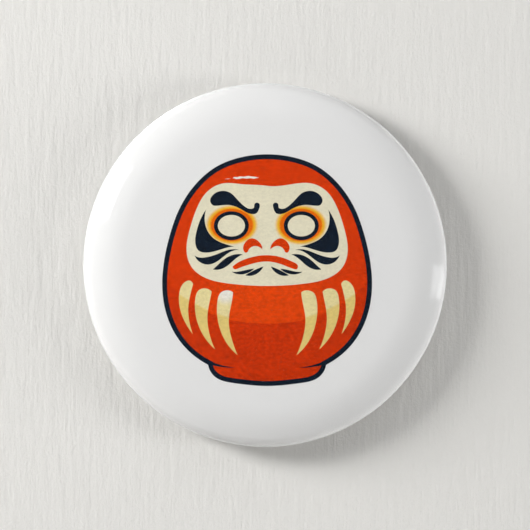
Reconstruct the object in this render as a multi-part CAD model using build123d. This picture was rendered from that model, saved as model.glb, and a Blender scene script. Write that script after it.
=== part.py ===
from build123d import *
import os
from math import asin, cos, degrees, pi, radians, sin

# Pin-back button badge with a printed daruma picture.
# Frame: +Z up, +X to the right of the picture, the picture faces -Y.
# Origin: centre of the plane on which the crimped rim lies, so the badge stands in y < 0.

# ---------------------------------------------------------------- driving dimensions, mm
BUTTON_DIA = 57.0  # 2 1/4 inch button, over the film
CROWN_R = 330.0  # shallow crown that carries the picture
SHOULDER_R = 12.0  # rounding from the crown to the edge
SHOULDER_ANGLE = 30.0  # slope where the shoulder meets the edge arc, degrees
EDGE_R = 3.0  # edge arc, up to the side wall
SIDE_WALL = 0.3  # straight part of the side
ROLL_R = 0.8  # outer radius of the crimped edge
CRIMP_LIP = 3.6  # width of the turned-in lip, from the badge's edge inwards

FILM_T = 0.08  # clear polyester
PAPER_T = 0.12  # printed paper
INK_T = 0.04  # depth of the ink in the paper
SHELL_T = 0.25  # front tinplate
PLATE_T = 0.25  # back tinplate

RECESS_DEPTH = 3.4  # crimped rim's plane to the back plate's floor
PLATE_GAP = 0.1  # plate's edge to the inside of the roll
WALL_INSET = 0.25  # top of the plate's wall, in from the lip
WALL_RUN = 2.4  # how far the plate's side wall leans in over its depth
FLOOR_FILLET = 1.2  # plate's floor to its wall
BEAD_INSET = 1.7  # stiffening bead's middle, in from the floor's edge
BEAD_R = 1.0  # section radius of the bead
BEAD_HEIGHT = 0.3  # bead above the floor

WIRE_DIA = 0.8  # safety pin wire
LEG_SPACING = 3.4  # fixed leg to needle, and the coil's pitch diameter
NEEDLE_LENGTH = 31.0  # from its root below the coil to the point
POINT_LENGTH = 4.0  # ground taper
POINT_BELLY = 0.62  # radius halfway along the taper, as a share of the wire's
TIP_DIA = 0.07
COIL_X = -15.2  # coil's centre
LEG_Z = 2.6  # height of the fixed leg over the badge's centre
TURN_GAP = 0.05  # between the coil's turns
SOCKET_GAP = 0.03  # round the needle's root, where the wire flexes

CAP_T = 0.25  # clasp's sheet metal
CAP_LENGTH = 6.4
CAP_PLATE_GAP = 0.2  # clasp to the back plate
CAP_NEEDLE_GAP = 0.15  # round the needle
CAP_PAST_POINT = 1.0  # clasp's end wall past the needle's point
CAP_COVER = 2.35  # how far the clasp's outer wall covers, down from the fixed leg
CAP_CORNER = 1.4  # rounding of the clasp's far corners
CAP_MOUTH_LIP = 0.1  # clasp's mouth cuts this far past the needle's axis, towards the badge
FOLD_EASE = 0.01  # the clasp's folds are this much tighter than the wire in them

BRIDGE_GAP = 0.08  # running clearance of the fixed leg in its bridges
BRIDGE_T = 0.25
BRIDGE_WIDTH = 2.4
BRIDGE_SPACING = 14.0
BRIDGE_FOOT = 1.75  # half spread of a bridge's feet on the plate
BRIDGE_FOOT_T = 0.3  # a bridge's sloping leg, measured along the plate
SLIT = 0.15  # cut each side of a bridge

PRINT_X = 0.33  # the picture sits this far right of centre
FACE_X = -0.12  # eyes, nose, mouth and brows against the picture's middle
OUTLINE_T = 0.76  # thickness of the picture's outline

# ---------------------------------------------------------------- derived sizes
BADGE_R = BUTTON_DIA / 2
LIP_R = BADGE_R - CRIMP_LIP
SKIN_T = FILM_T + PAPER_T + SHELL_T  # everything that is crimped over the plate
EDGE_Y = -(ROLL_R + SIDE_WALL)  # level of the edge arc's centre
SHOULDER_C = BADGE_R - EDGE_R - (SHOULDER_R - EDGE_R) * sin(radians(SHOULDER_ANGLE))
SHOULDER_Y = EDGE_Y + (SHOULDER_R - EDGE_R) * cos(radians(SHOULDER_ANGLE))
CROWN_ANGLE = degrees(asin(SHOULDER_C / (CROWN_R - SHOULDER_R)))
CROWN_Y = SHOULDER_Y + (CROWN_R - SHOULDER_R) * cos(radians(CROWN_ANGLE))
DEPTH = CROWN_R - CROWN_Y

FLOOR_Y = -RECESS_DEPTH
PLATE_R = BADGE_R - ROLL_R - PLATE_GAP
WALL_TOP_R = LIP_R - WALL_INSET
FLOOR_R = WALL_TOP_R - WALL_RUN

WIRE_R = WIRE_DIA / 2
COIL_R = LEG_SPACING / 2
PITCH = WIRE_DIA + TURN_GAP
LEG_Y = FLOOR_Y + CAP_PLATE_GAP + CAP_T + WIRE_R
NEEDLE_Y = LEG_Y + 1.5 * PITCH
NEEDLE_Z = LEG_Z - LEG_SPACING
POINT_X = COIL_X + NEEDLE_LENGTH
CAP_END = POINT_X + CAP_PAST_POINT
LEG_END = CAP_END - CAP_T - WIRE_R


# ---------------------------------------------------------------- pressed skins of the dome
def on_arc(r, y, radius, angle):
    """Point at a slope angle on an arc about (r, y), in the plane of radius and depth."""
    return (r + radius * sin(radians(angle)), y - radius * cos(radians(angle)))


def outline_at(inset):
    """Edges of the dome's section at a depth below the film's face, from apex to lip."""
    crown, shoulder, edge, roll = CROWN_R - inset, SHOULDER_R - inset, EDGE_R - inset, ROLL_R - inset
    apex = (0, CROWN_Y - crown)
    crown_end = on_arc(0, CROWN_Y, crown, CROWN_ANGLE)
    shoulder_end = on_arc(SHOULDER_C, SHOULDER_Y, shoulder, SHOULDER_ANGLE)
    edge_end = (BADGE_R - inset, EDGE_Y)
    wall_end = (BADGE_R - inset, EDGE_Y + SIDE_WALL)
    roll_end = (BADGE_R - ROLL_R, -inset)
    lip_end = (LIP_R, -inset)
    crown_mid = on_arc(0, CROWN_Y, crown, CROWN_ANGLE / 2)
    shoulder_mid = on_arc(SHOULDER_C, SHOULDER_Y, shoulder, (CROWN_ANGLE + SHOULDER_ANGLE) / 2)
    edge_mid = on_arc(BADGE_R - EDGE_R, EDGE_Y, edge, (SHOULDER_ANGLE + 90) / 2)
    roll_mid = on_arc(BADGE_R - ROLL_R, EDGE_Y + SIDE_WALL, roll, 135)
    edges = [
        ThreePointArc(apex, crown_mid, crown_end),
        ThreePointArc(crown_end, shoulder_mid, shoulder_end),
        ThreePointArc(shoulder_end, edge_mid, edge_end),
        Line(edge_end, wall_end),
        ThreePointArc(wall_end, roll_mid, roll_end),
        Line(roll_end, lip_end),
    ]
    return edges, apex, lip_end


def skin(outer, inner):
    """One pressed layer between two depths below the film's face, turned about the badge's axis."""
    outside, outside_apex, outside_lip = outline_at(outer)
    inside, inside_apex, inside_lip = outline_at(inner)
    ends = [Line(outside_apex, inside_apex), Line(outside_lip, inside_lip)]
    return revolve(make_face(outside + inside + ends), axis=Axis.Y)


# ---------------------------------------------------------------- the picture's outlines
def blob(points):
    """Smooth closed outline through its points."""
    return make_face(Spline(*points, periodic=True))


def leaf(one_side, other_side):
    """Outline with a sharp tip at each end, between two curves that share their end points."""
    return make_face([Spline(*one_side), Spline(*other_side)])


def both_ways(points):
    """Half an outline, from top to bottom at x >= 0, completed by its mirror image."""
    left = [(-x, z) for x, z in reversed(points) if x > 0]
    return points + left


def inset_points(points, amount):
    """Closed outline's points moved inwards, square to the line between their neighbours."""
    moved = []
    for i, (x, z) in enumerate(points):
        (xa, za), (xb, zb) = points[i - 1], points[(i + 1) % len(points)]
        run = Vector(xb - xa, zb - za).length
        moved.append((x + amount * (zb - za) / run, z - amount * (xb - xa) / run))
    return moved


def pair(shape):
    """A shape of the picture's left half and its mirror image."""
    return shape + mirror(shape, about=Plane.YZ)


BODY = both_ways(
    [(0, 17.2), (4.4, 16.66), (8.1, 15.15), (11.2, 12.45), (13.5, 9.0), (15.1, 4.7), (16.1, 0.0)]
    + [(16.25, -4.3), (15.2, -8.9), (12.8, -12.75), (9.2, -15.5), (5.0, -17.0), (0, -17.6)]
)
FOOT = both_ways([(0, -13.0), (7.2, -13.4), (9.15, -15.2), (8.3, -17.2), (5.2, -18.35), (0, -18.8)])


def silhouette(inset=0.0):
    """Egg-shaped body on its foot."""
    return blob(inset_points(BODY, inset)) + blob(inset_points(FOOT, inset))


def creases():
    """Tapered lines where the body turns under, above the foot."""
    return pair(
        leaf(
            [(-9.3, -14.8), (-8.06, -15.26), (-6.87, -15.62), (-4.93, -15.88)],
            [(-9.3, -14.8), (-8.5, -15.55), (-7.22, -15.82), (-6.0, -15.96), (-4.93, -15.88)],
        )
    )


def face_panel():
    """Cream panel with a dipped upper edge."""
    right = [(0, 12.3), (3.8, 12.55), (7.0, 12.65), (9.3, 11.4), (10.8, 9.1), (11.95, 5.8)]
    right += [(12.5, 1.9), (11.75, -0.3), (9.9, -1.85), (6.2, -2.85), (0, -3.25)]
    return blob(both_ways(right))


EYE_AT = (-5.43, 6.1)
EYE_OUTER = (2.72, 2.25)
EYE_INNER = (2.11, 1.68)
GLOW_AT = (-5.3, 6.1)
GLOW = (3.5, 2.72)


def ellipse_at(centre, radii):
    """Ellipse of the picture's left half."""
    return Pos(*centre) * Ellipse(*radii)


def eye_rings():
    """Outlines of the two blank eyes."""
    return pair(ellipse_at(EYE_AT, EYE_OUTER) - ellipse_at(EYE_AT, EYE_INNER))


def eye_glow():
    """Shading round the eyes."""
    return pair(ellipse_at(GLOW_AT, GLOW) - ellipse_at(EYE_AT, EYE_OUTER))


def brows():
    """Lobed brows that sweep in to a hook."""
    lobe = [(-8.5, 9.45), (-8.72, 10.15), (-8.15, 11.02), (-6.8, 11.52), (-5.55, 11.18)]
    sweep = [(-4.4, 10.05), (-3.4, 9.12), (-2.5, 8.72), (-1.92, 8.93), (-1.86, 9.4)]
    hook = [(-1.55, 9.68), (-1.1, 9.52), (-1.1, 8.82), (-1.62, 8.0), (-2.55, 7.97)]
    under = [(-3.8, 8.6), (-5.1, 9.18), (-6.4, 9.33), (-7.8, 9.2)]
    return pair(blob(lobe + sweep + hook + under))


def cheeks():
    """Large crescents round the outside of the eyes."""
    tip, inner_tip = (-9.5, 8.6), (-5.1, 2.87)
    outer = [(-10.35, 7.1), (-10.97, 5.2), (-11.14, 3.3), (-10.6, 2.2), (-9.4, 1.93), (-7.3, 2.38)]
    inner = [(-9.7, 7.1), (-9.35, 5.5), (-8.43, 4.25), (-6.94, 3.4)]
    return pair(leaf([tip] + outer + [inner_tip], [tip] + inner + [inner_tip]))


def whiskers():
    """Two strokes below each cheek and two by the beard."""
    strokes = [
        leaf(
            [(-11.27, 1.48), (-10.5, 1.16), (-9.24, 1.24), (-7.86, 1.66), (-6.25, 2.28), (-4.3, 2.33)],
            [(-11.27, 1.48), (-10.7, 0.65), (-9.46, 0.08), (-8.3, 0.27), (-6.71, 1.36), (-4.3, 2.33)],
        ),
        leaf(
            [(-8.43, -0.68), (-7.6, 0.06), (-6.48, 1.02), (-5.33, 1.57), (-3.75, 1.62)],
            [(-8.43, -0.68), (-7.1, -0.62), (-6.2, -0.15), (-5.2, 0.72), (-3.75, 1.62)],
        ),
        leaf(
            [(-5.49, -1.05), (-4.2, -0.98), (-3.05, -0.72), (-2.0, -0.57)],
            [(-5.49, -1.05), (-4.5, -1.44), (-3.5, -1.4), (-2.0, -0.57)],
        ),
        leaf(
            [(-3.4, -1.58), (-2.65, -1.14), (-1.6, -0.62), (-0.58, -0.22)],
            [(-3.4, -1.58), (-2.4, -1.66), (-1.5, -1.3), (-0.58, -0.22)],
        ),
    ]
    return pair(Sketch() + strokes)


def nose():
    """Two commas."""
    outer = [(-2.85, 2.1), (-3.28, 1.93), (-3.6, 2.5), (-3.4, 3.35), (-2.3, 4.14), (-1.3, 3.75)]
    outer += [(-0.62, 2.42)]
    inner = [(-0.62, 2.42), (-1.2, 2.84), (-1.8, 2.95), (-2.45, 2.7), (-2.85, 2.1)]
    return pair(leaf(outer, inner))


def mouth():
    """Down-turned arch."""
    upper = [(-5.2, -0.2), (-4.3, 0.45), (-2.7, 1.1), (-0.1, 1.52), (2.5, 1.15), (4.1, 0.5), (4.9, -0.2)]
    lower = [(4.75, -0.62), (4.2, -0.6), (2.5, 0.05), (-0.1, 0.54), (-2.6, 0.08), (-4.4, -0.55)]
    lower += [(-5.05, -0.6)]
    return blob(upper + lower)


def robe_strokes():
    """Three curved gold strokes on each side of the body."""
    strokes = [
        leaf(
            [(-11.5, -2.95), (-11.95, -4.7), (-12.25, -6.6), (-12.12, -8.6), (-11.55, -10.75)],
            [(-11.5, -2.95), (-12.15, -2.4), (-13.0, -2.85), (-13.65, -4.4), (-13.6, -6.5), (-12.9, -8.6)]
            + [(-11.55, -10.75)],
        ),
        leaf(
            [(-8.62, -4.15), (-8.95, -5.8), (-9.27, -7.9), (-9.05, -10.3), (-8.1, -13.1)],
            [(-8.62, -4.15), (-9.5, -3.65), (-10.6, -3.9), (-11.15, -5.2), (-11.2, -7.0), (-10.5, -9.8)]
            + [(-8.1, -13.1)],
        ),
        leaf(
            [(-5.3, -4.25), (-5.55, -6.0), (-5.95, -8.3), (-5.7, -10.7), (-4.58, -14.0)],
            [(-5.3, -4.25), (-6.2, -3.93), (-7.2, -4.3), (-7.72, -5.6), (-7.8, -7.2), (-7.05, -10.7)]
            + [(-4.58, -14.0)],
        ),
    ]
    return pair(Sketch() + strokes)


def forehead_light():
    """Dry brush stroke on the forehead, ragged and broken."""
    upper = [(-5.35, 13.48), (-5.1, 13.68), (-4.6, 13.66), (-4.3, 13.78), (-3.6, 13.72), (-2.95, 13.85)]
    upper += [(-2.5, 13.76), (-1.9, 13.72), (-1.25, 13.55)]
    lower = [(-1.7, 13.5), (-2.0, 13.4), (-2.6, 13.48), (-3.2, 13.42), (-3.8, 13.5), (-4.4, 13.36)]
    lower += [(-4.85, 13.34), (-5.0, 13.44)]
    long_stroke = make_face(Polyline(*upper, *lower, close=True))
    trace = [(-6.6, 13.36), (-6.1, 13.43), (-5.65, 13.42), (-6.1, 13.34)]
    return long_stroke + make_face(Polyline(*trace, close=True))


def shaded_part():
    """Lower part of the body, below a shallow curve."""
    edge = Spline((-18, 0.4), (-12.7, -5.2), (-6.7, -8.3), (0, -9.1), (6.7, -8.3), (12.7, -5.2), (18, 0.4))
    sides = Polyline((18, 0.4), (18, -20), (-18, -20), (-18, 0.4))
    return make_face([edge, sides])


def picture():
    """The picture's flat colour areas, each cut clear of the ones printed over it."""
    face = Pos(FACE_X, 0)
    inside = silhouette(OUTLINE_T)
    navy = silhouette() - inside + creases() + cheeks() + whiskers() + face * (brows() + eye_rings())
    red_marks = face * (nose() + mouth())
    gold = robe_strokes()
    white = forehead_light()
    panel = face_panel()
    orange = (face * eye_glow()) & panel
    orange = orange - navy - red_marks
    cream = panel - navy - red_marks - orange
    red = inside - panel - navy - gold - white
    dark_red = red & shaded_part()
    red = red - shaded_part() + red_marks
    return {
        "print_navy": navy,
        "print_red": red,
        "print_dark_red": dark_red,
        "print_cream": cream,
        "print_orange": orange,
        "print_gold": gold,
        "print_white": white,
    }


def through_dome(sketch):
    """A flat shape of the picture, drawn through the whole dome along its axis."""
    return extrude(Plane.XZ * (Pos(PRINT_X, 0) * sketch), amount=2 * DEPTH)


def inks():
    """Each colour as ink in the top of the paper."""
    layer = skin(FILM_T, FILM_T + INK_T)
    return {name: through_dome(area) & layer for name, area in picture().items()}


def printed_paper():
    """Paper disc, wrapped round the edge, less the ink in its face."""
    sheet = skin(FILM_T, FILM_T + PAPER_T)
    return sheet - (through_dome(silhouette()) & skin(FILM_T / 2, FILM_T + INK_T))


# ---------------------------------------------------------------- back plate
def plate_dish():
    """Recessed tin dish with its rim flat under the crimp."""
    rim_y = -SKIN_T
    top = [(0, FLOOR_Y), (FLOOR_R, FLOOR_Y), (WALL_TOP_R, rim_y), (PLATE_R, rim_y)]
    lean = WALL_RUN / (rim_y - FLOOR_Y)
    shift = PLATE_T * ((1 + lean**2) ** 0.5 - lean)
    under = [(0, FLOOR_Y - PLATE_T), (FLOOR_R + shift, FLOOR_Y - PLATE_T)]
    under += [(WALL_TOP_R + shift, rim_y - PLATE_T), (PLATE_R, rim_y - PLATE_T)]
    section = make_face(Polyline(*top, *reversed(under), close=True))
    floor_top = section.vertices().sort_by_distance(Vertex(*top[1]))[0]
    section = fillet(floor_top, FLOOR_FILLET)
    floor_under = section.vertices().sort_by_distance(Vertex(*under[1]))[0]
    section = fillet(floor_under, FLOOR_FILLET + PLATE_T)
    return revolve(section, axis=Axis.Y)


def bead_ring(radius):
    """Ring whose round section stands out of the floor by the bead's height."""
    centre_y = FLOOR_Y + BEAD_HEIGHT - BEAD_R
    circle = Pos(FLOOR_R - BEAD_INSET, centre_y) * Circle(radius)
    return revolve(Plane.XY * circle, axis=Axis.Y)


def above_floor(solid, level):
    """The part of a solid on the back side of a level."""
    half = Pos(0, level + BUTTON_DIA / 2, 0) * Box(BUTTON_DIA, BUTTON_DIA, BUTTON_DIA)
    return solid & half


def bridge(x):
    """Strap lanced out of the plate, which arches over the fixed leg."""
    inner_r = WIRE_R + BRIDGE_GAP
    outer_r = inner_r + BRIDGE_T

    def hump(radius, foot):
        flank = Polyline((-foot, FLOOR_Y), (-radius, LEG_Y), (radius, LEG_Y), (foot, FLOOR_Y), close=True)
        return Pos(0, LEG_Y) * Circle(radius) + make_face(flank)

    arch = hump(outer_r, BRIDGE_FOOT) - hump(inner_r, BRIDGE_FOOT - BRIDGE_FOOT_T)
    across = Plane(origin=(x - BRIDGE_WIDTH / 2, 0, LEG_Z), x_dir=(0, 0, -1), z_dir=(1, 0, 0))
    return extrude(across * arch, amount=BRIDGE_WIDTH)


def window(x):
    """Opening left in the plate by a lanced bridge."""
    width = BRIDGE_WIDTH + 2 * SLIT
    spread = 2 * (BRIDGE_FOOT - BRIDGE_FOOT_T)
    through = 4 * PLATE_T
    return Pos(x, FLOOR_Y, LEG_Z) * Box(width, through, spread)


def back_plate():
    """Stamped back with its stiffening bead, windows and bridges."""
    places = [-BRIDGE_SPACING / 2, BRIDGE_SPACING / 2]
    plate = plate_dish()
    plate += above_floor(bead_ring(BEAD_R), FLOOR_Y - PLATE_T / 2)
    plate -= above_floor(bead_ring(BEAD_R - PLATE_T), FLOOR_Y - 2 * PLATE_T)
    for x in places:
        plate -= window(x)
    for x in places:
        plate += bridge(x)
    return plate


# ---------------------------------------------------------------- safety pin
def coil_line():
    """Coil's centre line: a turn and a half, stopping just short of the needle's root."""
    root_share = asin((WIRE_R + SOCKET_GAP) / COIL_R) / (2 * pi)
    axis = Plane(origin=(COIL_X, LEG_Y, LEG_Z - COIL_R), x_dir=(0, 0, 1), z_dir=(0, 1, 0))
    return axis * Helix(PITCH, (1.5 - root_share) * PITCH, COIL_R, lefthand=True)


def needle_line():
    """Axis of the needle, from its root below the coil."""
    return Plane(origin=(COIL_X, NEEDLE_Y, NEEDLE_Z), z_dir=(1, 0, 0))


def pin_wire():
    """Fixed leg and spring coil, of one wire."""
    coil = coil_line()
    path = Wire([Line((LEG_END, LEG_Y, LEG_Z), coil @ 0), coil.edge()])
    start = Plane(origin=path @ 0, z_dir=path % 0)
    return sweep(start * Circle(WIRE_R), path=path, transition=Transition.RIGHT)


def pin_needle():
    """Moving leg: a ball root where the wire flexes, a straight shank and a ground point."""
    axis = needle_line()
    shank_length = NEEDLE_LENGTH - POINT_LENGTH
    profile = Polyline(
        (0, 0),
        (WIRE_R, 0),
        (WIRE_R, shank_length),
        (WIRE_R * POINT_BELLY, shank_length + POINT_LENGTH / 2),
        (TIP_DIA / 2, NEEDLE_LENGTH),
        (0, NEEDLE_LENGTH),
        close=True,
    )
    shank = revolve(Plane.XZ * make_face(profile), axis=Axis.Z)
    return axis * (shank + Sphere(WIRE_R))


def cap_section():
    """Clasp's folded sheet, seen along the pin: depth across, height up."""
    inner_low = -WIRE_R
    inner_high = NEEDLE_Y - LEG_Y + WIRE_R + CAP_NEEDLE_GAP
    inner_top = WIRE_R
    inner_bottom = -LEG_SPACING - WIRE_R - CAP_NEEDLE_GAP

    def loop(grow):
        low, high = inner_low - grow, inner_high + grow
        top, bottom = inner_top + grow, inner_bottom - grow
        middle, height = (low + high) / 2, (top + bottom) / 2
        corner = WIRE_R + grow - FOLD_EASE
        return Pos(middle, height) * RectangleRounded(high - low, top - bottom, corner)

    hollow = loop(0)
    outer = loop(CAP_T)
    mouth_low = NEEDLE_Y - LEG_Y - CAP_MOUTH_LIP
    mouth_top = -CAP_COVER
    mouth_size = 2 * LEG_SPACING
    opening = Pos(mouth_low + mouth_size / 2, mouth_top - mouth_size / 2) * Rectangle(mouth_size, mouth_size)
    return outer, hollow, opening


def clasp_cap():
    """Folded guard, crimped round the fixed leg, open where the needle swings out."""
    outer, hollow, opening = cap_section()
    start = Plane(origin=(CAP_END - CAP_LENGTH, LEG_Y, LEG_Z), x_dir=(0, 1, 0), z_dir=(1, 0, 0))
    body = extrude(start * outer, amount=CAP_LENGTH)
    body -= extrude(start * hollow, amount=CAP_LENGTH - CAP_T)
    body -= extrude(start * opening, amount=CAP_LENGTH)
    height = LEG_SPACING + 2 * (WIRE_R + CAP_T) + CAP_NEEDLE_GAP
    middle = LEG_Z + WIRE_R + CAP_T - height / 2
    rounded = RectangleRounded(2 * CAP_LENGTH, height, CAP_CORNER)
    side_view = Plane.XZ * (Pos(CAP_END - CAP_LENGTH, middle) * rounded)
    keep = extrude(side_view, amount=BUTTON_DIA / 2, both=True)
    body = body & keep
    leg = Pos(LEG_END - CAP_LENGTH, LEG_Y, LEG_Z) * Rot(0, 90, 0) * Cylinder(WIRE_R, 2 * CAP_LENGTH)
    return body - leg


# ---------------------------------------------------------------- write the pieces
def pieces():
    """Every piece by name."""
    made = {
        "front_shell": skin(FILM_T + PAPER_T, SKIN_T),
        "printed_paper": printed_paper(),
        "clear_film": skin(0, FILM_T),
        "back_plate": back_plate(),
        "pin_wire": pin_wire(),
        "pin_needle": pin_needle(),
        "clasp_cap": clasp_cap(),
    }
    made.update(inks())
    return made


os.makedirs("parts", exist_ok=True)
for node, shape in pieces().items():
    export_step(shape, f"parts/{node}.step")
    print(node, len(shape.solids()), round(shape.volume, 3), shape.is_valid)
print("depth", round(DEPTH, 3), "needle level", round(NEEDLE_Y, 3), "leg level", round(LEG_Y, 3))
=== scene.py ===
"""Round button badge with a printed daruma picture: the looks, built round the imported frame.

Every length is in metres. The badge stands upright with its picture towards -Y, and its crimped
rim lies on the plane y = 0.
"""

import logging
import math
from dataclasses import dataclass, field
from enum import Enum

import bmesh
import bpy
import numpy as np
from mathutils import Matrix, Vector
from mathutils.geometry import delaunay_2d_cdt


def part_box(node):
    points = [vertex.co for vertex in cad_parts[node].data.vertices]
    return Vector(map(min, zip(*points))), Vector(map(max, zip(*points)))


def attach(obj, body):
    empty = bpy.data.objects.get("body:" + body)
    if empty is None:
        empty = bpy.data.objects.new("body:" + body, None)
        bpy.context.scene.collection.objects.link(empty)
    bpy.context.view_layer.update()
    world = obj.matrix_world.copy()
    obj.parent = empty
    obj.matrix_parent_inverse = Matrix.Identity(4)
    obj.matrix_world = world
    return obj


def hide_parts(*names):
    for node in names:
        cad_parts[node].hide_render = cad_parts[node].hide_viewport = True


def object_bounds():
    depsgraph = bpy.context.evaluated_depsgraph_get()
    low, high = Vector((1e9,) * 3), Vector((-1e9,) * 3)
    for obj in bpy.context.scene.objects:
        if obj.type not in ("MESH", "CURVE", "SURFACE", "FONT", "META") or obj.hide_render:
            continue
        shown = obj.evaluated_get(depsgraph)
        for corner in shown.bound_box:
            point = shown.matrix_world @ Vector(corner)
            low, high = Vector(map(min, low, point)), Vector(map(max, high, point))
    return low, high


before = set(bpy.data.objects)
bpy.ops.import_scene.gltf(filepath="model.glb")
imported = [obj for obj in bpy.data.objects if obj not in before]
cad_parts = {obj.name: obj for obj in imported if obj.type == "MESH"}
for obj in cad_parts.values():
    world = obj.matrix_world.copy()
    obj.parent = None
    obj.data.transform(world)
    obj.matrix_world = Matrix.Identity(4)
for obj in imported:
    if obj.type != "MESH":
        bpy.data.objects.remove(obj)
cad_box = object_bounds()

LOG = logging.getLogger("badge")
MM = 0.001
SHEET_EASE = 0.05 * MM
SAME_PLACE = 1e-8
CDT_UNITS = 1000.0
KEYS_PER_METRE = 1e7

Colour = tuple[float, float, float]
Section = list[tuple[float, float]]
Tree = bpy.types.NodeTree
Node = bpy.types.Node
Socket = bpy.types.NodeSocket
Paint = Socket | tuple[float, ...] | float


class Kind(Enum):
    """The kinds of socket that the node groups take and give."""

    NUMBER = "NodeSocketFloat"
    COUNT = "NodeSocketInt"
    VECTOR = "NodeSocketVector"
    COLOUR = "NodeSocketColor"
    SHAPE = "NodeSocketGeometry"


class Family(Enum):
    """The two kinds of node group."""

    GEOMETRY = "GeometryNodeTree"
    SHADER = "ShaderNodeTree"


class Body(str, Enum):
    """The three rigid bodies that the badge's pieces ride on."""

    BADGE = "badge"
    SAFETY_PIN = "safety_pin"
    NEEDLE = "needle"


def hand_over(piece: bpy.types.Object, body: Body, node: str, stands_in: bool = True) -> None:
    """Ties a finished piece to its body, hides its node where it stands in for it, and reports it.

    Args:
        piece: the finished piece.
        body: the body that it moves with.
        node: the node that it stands in for.
        stands_in: whether it also replaces the node.
    """
    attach(piece, body.value)
    if stands_in:
        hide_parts(node)
    LOG.info("%s: %d faces", piece.name, len(piece.data.polygons))


def make_object(name: str, mesh: bpy.types.Mesh) -> bpy.types.Object:
    """Links a new object with the given mesh to the scene."""
    obj = bpy.data.objects.new(name, mesh)
    bpy.context.collection.objects.link(obj)
    return obj


def make_piece(name: str, points: np.ndarray, faces: list[tuple[int, ...]]) -> bpy.types.Object:
    """Makes a mesh object at the origin.

    Args:
        name: the piece's name.
        points: its vertices.
        faces: vertex numbers of each face, anticlockwise from outside.

    Returns:
        The new object, linked to the scene.
    """
    mesh = bpy.data.meshes.new(name)
    mesh.from_pydata([tuple(p) for p in points], [], [tuple(f) for f in faces])
    mesh.validate()
    return make_object(name, mesh)


def make_line(name: str, points: np.ndarray) -> bpy.types.Object:
    """Makes a mesh object of one open line of edges."""
    mesh = bpy.data.meshes.new(name)
    mesh.from_pydata([tuple(p) for p in points], [(i, i + 1) for i in range(len(points) - 1)], [])
    return make_object(name, mesh)


def smooth(obj: bpy.types.Object, angle: float = 35.0) -> None:
    """Shades a piece smooth, with its edges over the given angle in degrees kept sharp."""
    obj.data.polygons.foreach_set("use_smooth", [True] * len(obj.data.polygons))
    obj.data.set_sharp_from_angle(angle=math.radians(angle))


def turned(name: str, section: np.ndarray, segments: int) -> bpy.types.Object:
    """Turns a closed section about the badge's axis.

    Args:
        name: the piece's name.
        section: (radius, depth) points, from the outer apex round to the inner apex, both on the axis.
        segments: steps round the axis.

    Returns:
        A closed mesh whose poles are single points.
    """
    angles = np.linspace(0, 2 * math.pi, segments, endpoint=False)
    ring = np.stack([np.sin(angles), np.cos(angles)], 1)
    inner = section[1:-1]
    body = np.empty((len(inner), segments, 3))
    body[:, :, 0] = inner[:, None, 0] * ring[None, :, 0]
    body[:, :, 2] = inner[:, None, 0] * ring[None, :, 1]
    body[:, :, 1] = inner[:, None, 1]
    points = np.vstack([body.reshape(-1, 3), [[0, section[0, 1], 0]], [[0, section[-1, 1], 0]]])
    first, last = len(points) - 2, len(points) - 1
    faces: list[tuple[int, ...]] = []
    for j in range(segments):
        k = (j + 1) % segments
        faces.append((first, j, k))
        for i in range(len(inner) - 1):
            low, high = i * segments, (i + 1) * segments
            faces.append((low + j, high + j, high + k, low + k))
        end = (len(inner) - 1) * segments
        faces.append((end + k, end + j, last))
    obj = make_piece(name, points, faces)
    outwards(obj)
    return obj


def outwards(obj: bpy.types.Object) -> None:
    """Merges a mesh's doubles and turns its faces outwards.

    Args:
        obj: the piece, whose mesh is changed.
    """
    work = bmesh.new()
    work.from_mesh(obj.data)
    bmesh.ops.remove_doubles(work, verts=work.verts, dist=SAME_PLACE)
    bmesh.ops.recalc_face_normals(work, faces=work.faces)
    work.to_mesh(obj.data)
    work.free()


def apply_modifiers(obj: bpy.types.Object) -> None:
    """Replaces a piece's mesh by its evaluated one and removes its modifiers.

    Args:
        obj: a mesh object.
    """
    graph = bpy.context.evaluated_depsgraph_get()
    result = bpy.data.meshes.new_from_object(obj.evaluated_get(graph))
    result.name = obj.name
    obj.modifiers.clear()
    obj.data = result


def finish_edges(obj: bpy.types.Object, width: float, angle: float = 40.0) -> None:
    """Rounds a piece's sharp edges, and shades it smooth.

    Args:
        obj: the piece.
        width: the width of the rounding.
        angle: edges that turn more than this, in degrees, are sharp.
    """
    outwards(obj)
    bevel = obj.modifiers.new("edges", "BEVEL")
    bevel.width = width
    bevel.segments = 2
    bevel.limit_method = "ANGLE"
    bevel.angle_limit = math.radians(angle)
    apply_modifiers(obj)
    smooth(obj, angle)


def arc(centre: tuple[float, float], radius: float, start: float, end: float, steps: int) -> np.ndarray:
    """Points (r, y) on an arc, from one slope to another.

    Args:
        centre: the arc's centre (r, y).
        radius: its radius.
        start: the first slope in degrees, where 0 faces the front and 90 the side.
        end: the last slope.
        steps: how many points.

    Returns:
        The points.
    """
    turn = np.radians(np.linspace(start, end, steps))
    return np.stack([centre[0] + radius * np.sin(turn), centre[1] - radius * np.cos(turn)], 1)


# ---------------------------------------------------------------- geometry node trees
def node_tree(name: str, family: Family, inputs: list[tuple[str, Kind, object]],
              outputs: list[tuple[str, Kind]]) -> Tree:
    """Starts a node group with its sockets.

    Args:
        name: the group's name.
        family: geometry or shader.
        inputs: (name, kind, default or None) of each input.
        outputs: (name, kind) of each output.

    Returns:
        The tree, holding only its group input and output nodes.
    """
    tree = bpy.data.node_groups.new(name, family.value)
    for label, kind, default in inputs:
        made = tree.interface.new_socket(label, in_out="INPUT", socket_type=kind.value)
        if default is not None:
            made.default_value = default
    for label, kind in outputs:
        tree.interface.new_socket(label, in_out="OUTPUT", socket_type=kind.value)
    tree.nodes.new("NodeGroupInput")
    tree.nodes.new("NodeGroupOutput")
    return tree


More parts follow.
